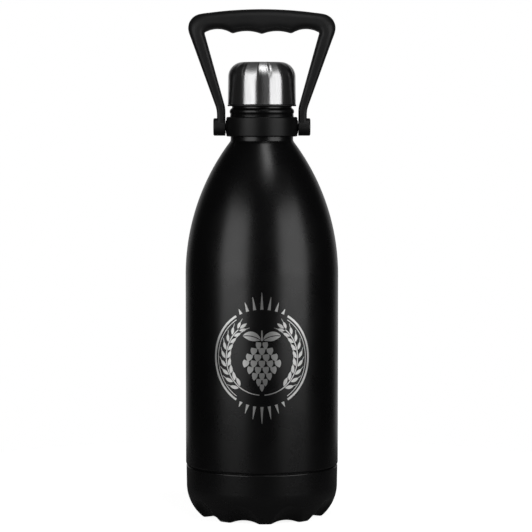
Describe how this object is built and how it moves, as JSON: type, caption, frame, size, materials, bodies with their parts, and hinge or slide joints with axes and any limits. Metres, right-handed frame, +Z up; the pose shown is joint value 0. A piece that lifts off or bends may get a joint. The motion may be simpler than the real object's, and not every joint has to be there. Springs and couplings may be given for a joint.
{
  "type": "growler",
  "caption": "Tall double-wall steel bottle with a domed screw cap, a swivel neck ring, a folding carrying handle with finger grooves, and a lobed base cup.",
  "frame": {"origin": "on the bottle's axis, at the plane that its feet stand on", "axes": "+Z up along the bottle's axis; the front faces -Y; the handle's pivots lie along X"},
  "size_m": [0.1068, 0.1068, 0.354],
  "materials": {
    "powder_coat": "satin",
    "polished_steel": "polished",
    "raw_steel": "satin",
    "black_plastic": "satin",
    "cap_plastic": "satin",
    "silicone": "satin",
    "foam": "matte",
    "getter_alloy": "matte",
    "seal_alloy": "satin"
  },
  "bodies": {
    "bottle": {"outer_shell": "powder_coat", "outer_bottom": "raw_steel", "evacuation_seal": "seal_alloy", "inner_liner": "raw_steel", "inner_bottom": "raw_steel", "getter_pellet": "getter_alloy", "getter_clip": "raw_steel", "base_cup": "powder_coat"},
    "neck_ring": {"collar": "black_plastic", "pivot_pin_left": "black_plastic", "pivot_pin_right": "black_plastic"},
    "bail": {"handle": "black_plastic"},
    "cap_seal": {"cap_gasket": "silicone"},
    "cap": {"cap_shell": "polished_steel", "cap_liner": "cap_plastic", "cap_plug": "cap_plastic", "cap_foam": "foam"}
  },
  "joints": [
    {"name": "collar_swivel", "type": "hinge", "parent": "bottle", "child": "neck_ring", "pos_m": [0, 0, 0.2723], "axis": [0, 0, 1], "continuous": true},
    {"name": "handle_fold", "type": "hinge", "parent": "neck_ring", "child": "bail", "pos_m": [0, 0, 0.2723], "axis": [1, 0, 0], "range_deg": [-130, 130]},
    {"name": "cap_rise", "type": "slide", "parent": "bottle", "child": "cap_seal", "axis": [0, 0, 1], "range_m": [0, 0.016]},
    {"name": "cap_turn", "type": "hinge", "parent": "cap_seal", "child": "cap", "pos_m": [0, 0, 0.2875], "axis": [0, 0, 1], "range_deg": [0, 720]}
  ],
  "couplings": [
    {"joint": "cap_rise", "follows": "cap_turn", "m_per_rad": 0.0012732}
  ]
}
